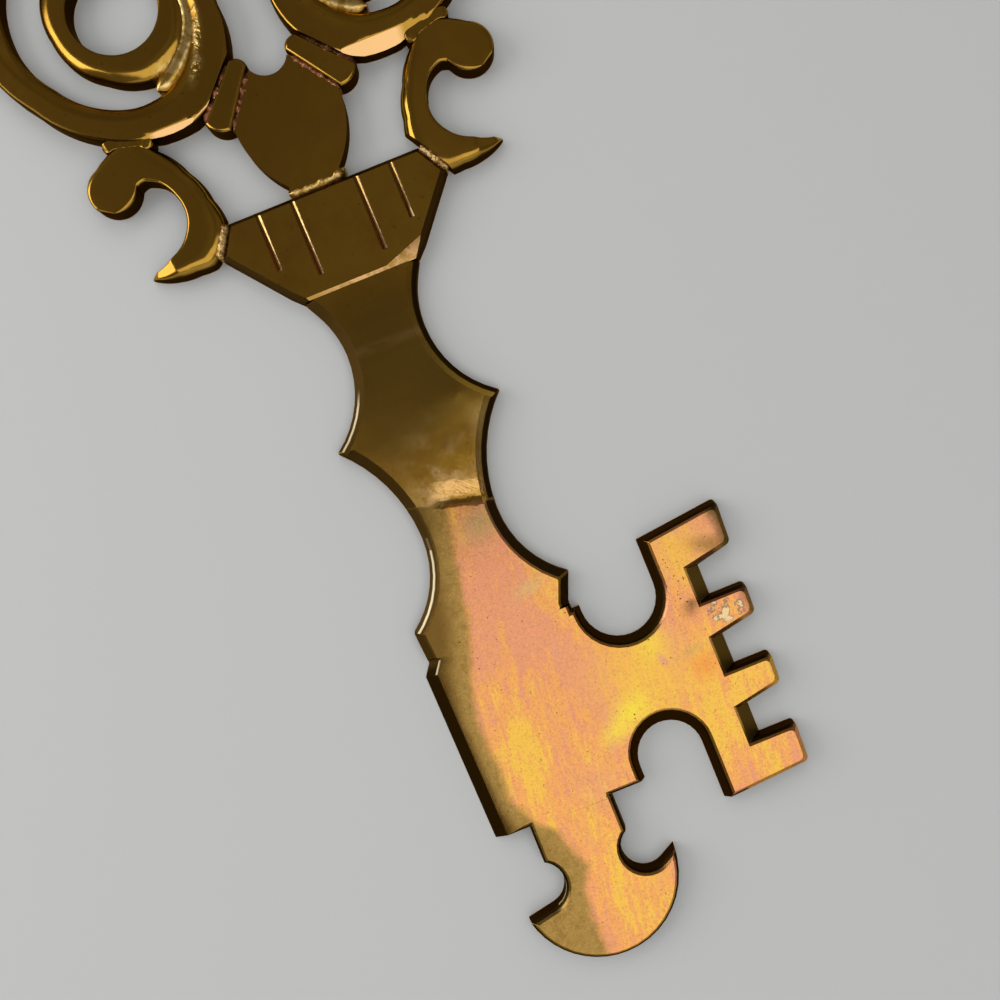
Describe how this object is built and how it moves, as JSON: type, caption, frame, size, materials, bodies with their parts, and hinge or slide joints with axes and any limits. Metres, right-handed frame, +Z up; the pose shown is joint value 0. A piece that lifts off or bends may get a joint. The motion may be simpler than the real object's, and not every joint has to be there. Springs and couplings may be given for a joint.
{
  "type": "decorative wall key",
  "caption": "Large ornamental key in cast and brazed brass with a scrolled heart-shaped bow, waisted shank and toothed bit, hung flat on a wall by an eye at the top.",
  "frame": {"origin": "on the axis of the hanging eye, at the back face that lies on the wall", "axes": "+Z up along the key with the bow at the top, +X to the right seen from the front, so the bit is on +X, +Y into the wall; the front faces -Y and the back face is at y = 0"},
  "size_m": [0.14, 0.006, 0.3395],
  "materials": {
    "bright_brass": "filed and worn, heat tinted",
    "dark_brass": "polished under an old brown patina",
    "braze": "rough reddish braze"
  },
  "bodies": {
    "root": {"tip": "bright_brass", "blade": "bright_brass", "shank": "bright_brass", "fan_plate": "bright_brass", "vase": "dark_brass", "left_collar": "dark_brass", "right_collar": "dark_brass", "left_volute": "dark_brass", "right_volute": "dark_brass", "left_c_scroll": "dark_brass", "right_c_scroll": "dark_brass", "crest": "dark_brass", "vase_foot_braze": "braze", "inner_collar_brazes": "braze", "outer_collar_brazes": "braze", "c_scroll_foot_brazes": "braze", "c_scroll_top_brazes": "braze", "coil_brazes": "braze", "crest_brazes": "braze"}
  },
  "joints": []
}
